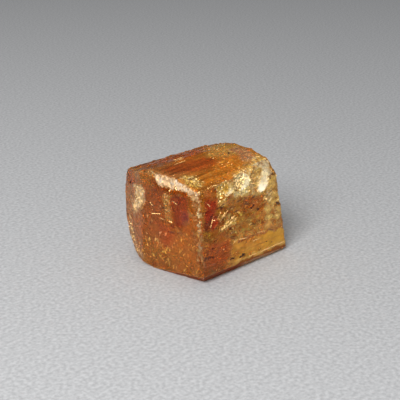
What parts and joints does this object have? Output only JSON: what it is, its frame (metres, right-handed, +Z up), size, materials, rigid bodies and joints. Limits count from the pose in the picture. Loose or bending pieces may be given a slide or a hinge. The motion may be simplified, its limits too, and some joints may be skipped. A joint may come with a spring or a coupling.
{
  "type": "topaz crystal",
  "caption": "Stout prism of clear orange-brown topaz lying on a prism face, with a flat cleavage end, frosted worn edges and a broken termination.",
  "frame": {"origin": "middle of the crystal's footprint box, on the surface it rests on", "axes": "+X along the c axis from the flat cleavage end to the broken termination, -Y out of the large front prism face, +Z up"},
  "size_m": [0.0146, 0.013, 0.0115],
  "materials": {
    "topaz": "clear orange-brown crystal, glossy prism faces, frosted and chipped along its edges"
  },
  "bodies": {
    "root": {"crystal": "topaz"}
  },
  "joints": []
}
